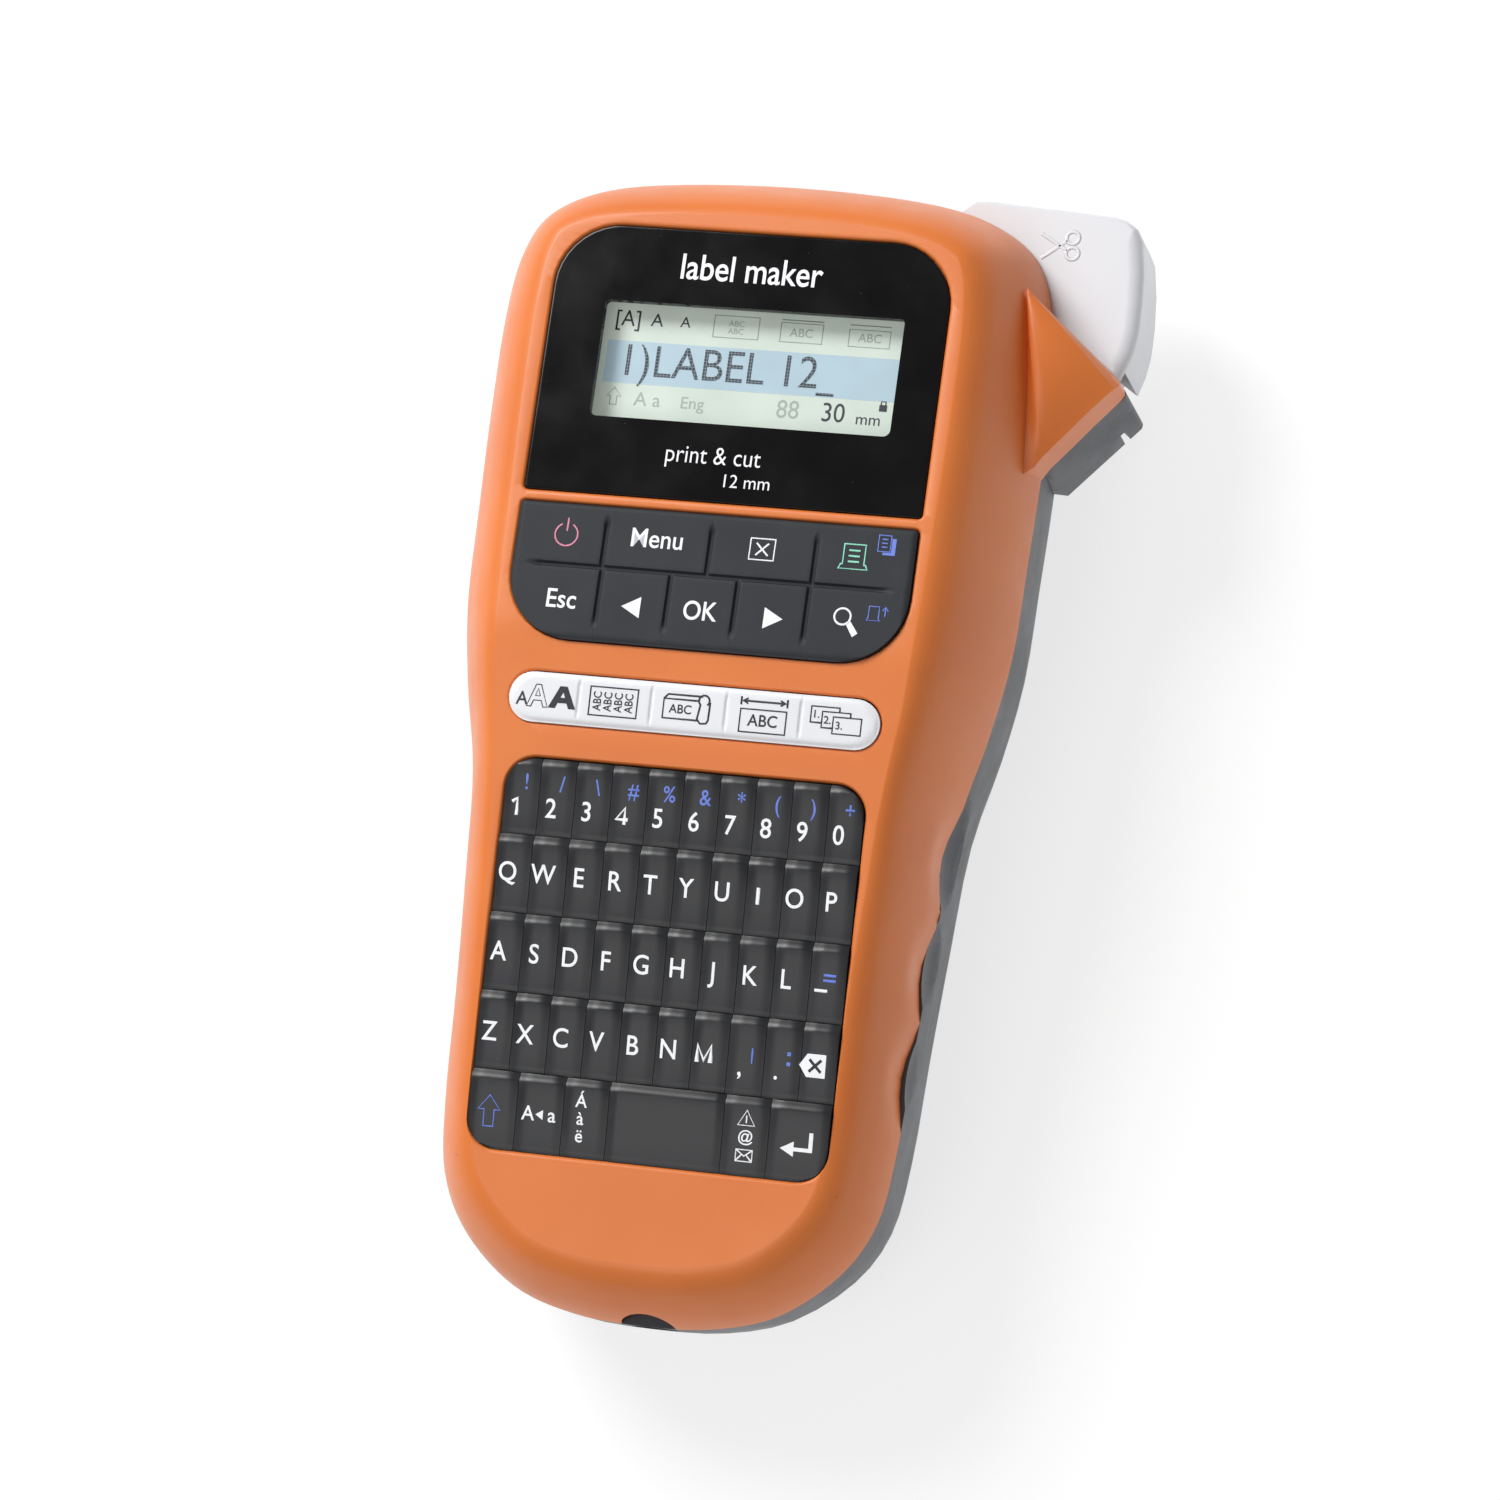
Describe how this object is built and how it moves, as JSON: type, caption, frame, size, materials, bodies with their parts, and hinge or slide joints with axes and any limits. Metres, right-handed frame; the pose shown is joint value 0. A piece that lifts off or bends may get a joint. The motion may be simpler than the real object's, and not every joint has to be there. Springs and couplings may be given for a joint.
{
  "type": "label maker",
  "caption": "Hand-held label maker with a letter keyboard, function keys, shortcut strip, display, tape cassette under a lift-off back cover and a thumb lever that cuts the tape.",
  "frame": {"origin": "centre of the flat rest face under the back cover, midway along the casing", "axes": "+X to the right of the keys, +Y towards the display end, +Z out of the keys"},
  "size_m": [0.1159, 0.207, 0.0599],
  "materials": {
    "board": "solder resist",
    "cassette_plastic": "moulded",
    "cell_jacket": "printed jacket",
    "ceramic": "ceramic and steel plate",
    "chip": "moulded",
    "function_rubber": "soft, low sheen",
    "grey_plastic": "moulded, fine texture",
    "ink_ribbon": "film",
    "lcd_glass": "grey-green liquid crystal",
    "lens": "polished black with a clear window",
    "letter_rubber": "soft, low sheen",
    "lever_plastic": "satin white",
    "nylon": "natural nylon",
    "orange_plastic": "moulded, fine texture",
    "ribbon_film": "film",
    "roller_rubber": "ground",
    "sheet_rubber": "matte",
    "socket_plastic": "moulded",
    "steel": "plated",
    "tape_film": "laminated film",
    "white_keys": "satin"
  },
  "bodies": {
    "casing": {"front_case": "orange_plastic", "rear_case": "grey_plastic", "case_screws": "steel", "display_window": "lens", "lcd_panel": "lcd_glass", "lcd_holder": "nylon", "display_board": "board", "key_board": "board", "board_chips": "chip", "display_ribbon": "ribbon_film", "power_jack": "socket_plastic", "function_pad": "sheet_rubber", "shortcut_pad": "sheet_rubber", "letter_pad": "sheet_rubber", "engine_frame": "steel", "drive_motor": "steel", "gear_pins": "steel", "print_head": "ceramic", "cutter_spring": "steel", "cutter_pin": "steel", "battery_contacts": "steel", "battery_springs": "steel"},
    "back_cover": {"back_cover": "grey_plastic"},
    "key_power": {"key_power": "function_rubber"},
    "key_menu": {"key_menu": "function_rubber"},
    "key_clear": {"key_clear": "function_rubber"},
    "key_print": {"key_print": "function_rubber"},
    "key_escape": {"key_escape": "function_rubber"},
    "key_left": {"key_left": "function_rubber"},
    "key_ok": {"key_ok": "function_rubber"},
    "key_right": {"key_right": "function_rubber"},
    "key_find": {"key_find": "function_rubber"},
    "key_font": {"key_font": "white_keys"},
    "key_text_grid": {"key_text_grid": "white_keys"},
    "key_flag": {"key_flag": "white_keys"},
    "key_length": {"key_length": "white_keys"},
    "key_number": {"key_number": "white_keys"},
    "row_digits": {"row_digits": "letter_rubber"},
    "row_upper": {"row_upper": "letter_rubber"},
    "row_middle": {"row_middle": "letter_rubber"},
    "row_lower": {"row_lower": "letter_rubber"},
    "key_shift": {"key_shift": "letter_rubber"},
    "key_caps": {"key_caps": "letter_rubber"},
    "key_accent": {"key_accent": "letter_rubber"},
    "key_space": {"key_space": "letter_rubber"},
    "key_symbol": {"key_symbol": "letter_rubber"},
    "key_enter": {"key_enter": "letter_rubber"},
    "motor_pinion": {"motor_pinion": "nylon"},
    "idler_gear": {"idler_gear": "nylon"},
    "platen": {"platen_gear": "nylon", "platen_roller": "roller_rubber"},
    "takeup_gear": {"takeup_gear": "nylon"},
    "cassette": {"cassette_case": "cassette_plastic", "label_tape": "tape_film"},
    "tape_spool": {"tape_spool": "tape_film"},
    "ribbon_spool": {"ribbon_spool": "ink_ribbon"},
    "takeup_spool": {"takeup_spool": "ink_ribbon"},
    "cutter": {"cutter_lever": "lever_plastic", "cutter_blade": "steel"},
    "batteries": {"batteries": "cell_jacket"}
  },
  "joints": [
    {"name": "key_power_press", "type": "slide", "parent": "casing", "child": "key_power", "axis": [0, 0, -1], "range_m": [0, 0.001], "stiffness_N_per_m": 250, "springref_m": -0.0006},
    {"name": "key_menu_press", "type": "slide", "parent": "casing", "child": "key_menu", "axis": [0, 0, -1], "range_m": [0, 0.001], "stiffness_N_per_m": 250, "springref_m": -0.0006},
    {"name": "key_clear_press", "type": "slide", "parent": "casing", "child": "key_clear", "axis": [0, 0, -1], "range_m": [0, 0.001], "stiffness_N_per_m": 250, "springref_m": -0.0006},
    {"name": "key_print_press", "type": "slide", "parent": "casing", "child": "key_print", "axis": [0, 0, -1], "range_m": [0, 0.001], "stiffness_N_per_m": 250, "springref_m": -0.0006},
    {"name": "key_escape_press", "type": "slide", "parent": "casing", "child": "key_escape", "axis": [0, 0, -1], "range_m": [0, 0.001], "stiffness_N_per_m": 250, "springref_m": -0.0006},
    {"name": "key_left_press", "type": "slide", "parent": "casing", "child": "key_left", "axis": [0, 0, -1], "range_m": [0, 0.001], "stiffness_N_per_m": 250, "springref_m": -0.0006},
    {"name": "key_ok_press", "type": "slide", "parent": "casing", "child": "key_ok", "axis": [0, 0, -1], "range_m": [0, 0.001], "stiffness_N_per_m": 250, "springref_m": -0.0006},
    {"name": "key_right_press", "type": "slide", "parent": "casing", "child": "key_right", "axis": [0, 0, -1], "range_m": [0, 0.001], "stiffness_N_per_m": 250, "springref_m": -0.0006},
    {"name": "key_find_press", "type": "slide", "parent": "casing", "child": "key_find", "axis": [0, 0, -1], "range_m": [0, 0.001], "stiffness_N_per_m": 250, "springref_m": -0.0006},
    {"name": "key_font_press", "type": "slide", "parent": "casing", "child": "key_font", "axis": [0, 0.1123, -0.9937], "range_m": [0, 0.001], "stiffness_N_per_m": 250, "springref_m": -0.0006},
    {"name": "key_text_grid_press", "type": "slide", "parent": "casing", "child": "key_text_grid", "axis": [0, 0.1123, -0.9937], "range_m": [0, 0.001], "stiffness_N_per_m": 250, "springref_m": -0.0006},
    {"name": "key_flag_press", "type": "slide", "parent": "casing", "child": "key_flag", "axis": [0, 0.1123, -0.9937], "range_m": [0, 0.001], "stiffness_N_per_m": 250, "springref_m": -0.0006},
    {"name": "key_length_press", "type": "slide", "parent": "casing", "child": "key_length", "axis": [0, 0.1123, -0.9937], "range_m": [0, 0.001], "stiffness_N_per_m": 250, "springref_m": -0.0006},
    {"name": "key_number_press", "type": "slide", "parent": "casing", "child": "key_number", "axis": [0, 0.1123, -0.9937], "range_m": [0, 0.001], "stiffness_N_per_m": 250, "springref_m": -0.0006},
    {"name": "row_digits_press", "type": "slide", "parent": "casing", "child": "row_digits", "axis": [0, 0.1123, -0.9937], "range_m": [0, 0.001], "stiffness_N_per_m": 600, "springref_m": -0.0006},
    {"name": "row_upper_press", "type": "slide", "parent": "casing", "child": "row_upper", "axis": [0, 0.1123, -0.9937], "range_m": [0, 0.001], "stiffness_N_per_m": 600, "springref_m": -0.0006},
    {"name": "row_middle_press", "type": "slide", "parent": "casing", "child": "row_middle", "axis": [0, 0.1123, -0.9937], "range_m": [0, 0.001], "stiffness_N_per_m": 600, "springref_m": -0.0006},
    {"name": "row_lower_press", "type": "slide", "parent": "casing", "child": "row_lower", "axis": [0, 0.1123, -0.9937], "range_m": [0, 0.001], "stiffness_N_per_m": 600, "springref_m": -0.0006},
    {"name": "key_shift_press", "type": "slide", "parent": "casing", "child": "key_shift", "axis": [0, 0.1123, -0.9937], "range_m": [0, 0.001], "stiffness_N_per_m": 250, "springref_m": -0.0006},
    {"name": "key_caps_press", "type": "slide", "parent": "casing", "child": "key_caps", "axis": [0, 0.1123, -0.9937], "range_m": [0, 0.001], "stiffness_N_per_m": 250, "springref_m": -0.0006},
    {"name": "key_accent_press", "type": "slide", "parent": "casing", "child": "key_accent", "axis": [0, 0.1123, -0.9937], "range_m": [0, 0.001], "stiffness_N_per_m": 250, "springref_m": -0.0006},
    {"name": "key_space_press", "type": "slide", "parent": "casing", "child": "key_space", "axis": [0, 0.1123, -0.9937], "range_m": [0, 0.001], "stiffness_N_per_m": 250, "springref_m": -0.0006},
    {"name": "key_symbol_press", "type": "slide", "parent": "casing", "child": "key_symbol", "axis": [0, 0.1123, -0.9937], "range_m": [0, 0.001], "stiffness_N_per_m": 250, "springref_m": -0.0006},
    {"name": "key_enter_press", "type": "slide", "parent": "casing", "child": "key_enter", "axis": [0, 0.1123, -0.9937], "range_m": [0, 0.001], "stiffness_N_per_m": 250, "springref_m": -0.0006},
    {"name": "cutter_press", "type": "hinge", "parent": "casing", "child": "cutter", "pos_m": [0.02899, 0.09669, 0.02], "axis": [0, 0, 1], "range_deg": [-5, 0], "stiffness_Nm_per_rad": 0.3, "springref_deg": 8.59},
    {"name": "cover_off", "type": "slide", "parent": "casing", "child": "back_cover", "axis": [0, 0, -1], "range_m": [0, 0.05]},
    {"name": "cassette_out", "type": "slide", "parent": "casing", "child": "cassette", "axis": [0, 0, -1], "range_m": [0, 0.025]},
    {"name": "batteries_out", "type": "slide", "parent": "casing", "child": "batteries", "axis": [0, 0, -1], "range_m": [0, 0.0175]},
    {"name": "idler_spin", "type": "hinge", "parent": "casing", "child": "idler_gear", "pos_m": [0.01949, 0.08348, 0.024], "axis": [0, 0, 1], "continuous": true},
    {"name": "pinion_spin", "type": "hinge", "parent": "casing", "child": "motor_pinion", "pos_m": [0.00549, 0.08348, 0.024], "axis": [0, 0, 1], "continuous": true},
    {"name": "platen_spin", "type": "hinge", "parent": "casing", "child": "platen", "pos_m": [0.03419, 0.08348, 0.024], "axis": [0, 0, 1], "continuous": true},
    {"name": "takeup_gear_spin", "type": "hinge", "parent": "casing", "child": "takeup_gear", "pos_m": [0.01949, 0.06528, 0.024], "axis": [0, 0, 1], "continuous": true},
    {"name": "takeup_spool_spin", "type": "hinge", "parent": "cassette", "child": "takeup_spool", "pos_m": [0.01949, 0.06528, 0.01], "axis": [0, 0, 1], "continuous": true},
    {"name": "tape_spool_spin", "type": "hinge", "parent": "cassette", "child": "tape_spool", "pos_m": [-0.01344, 0.05483, 0.01], "axis": [0, 0, 1], "continuous": true},
    {"name": "ribbon_spool_spin", "type": "hinge", "parent": "cassette", "child": "ribbon_spool", "pos_m": [0.00856, 0.03808, 0.01], "axis": [0, 0, 1], "continuous": true}
  ],
  "couplings": [
    {"joint": "pinion_spin", "follows": "idler_spin", "ratio": -2.3333},
    {"joint": "platen_spin", "follows": "idler_spin", "ratio": -2},
    {"joint": "takeup_gear_spin", "follows": "idler_spin", "ratio": -1.1667},
    {"joint": "takeup_spool_spin", "follows": "idler_spin", "ratio": -1.1667},
    {"joint": "tape_spool_spin", "follows": "idler_spin", "ratio": -0.53333},
    {"joint": "ribbon_spool_spin", "follows": "idler_spin", "ratio": -1},
    {"joint": "cassette_out", "follows": "cover_off", "ratio": 0.5},
    {"joint": "batteries_out", "follows": "cover_off", "ratio": 0.35}
  ]
}
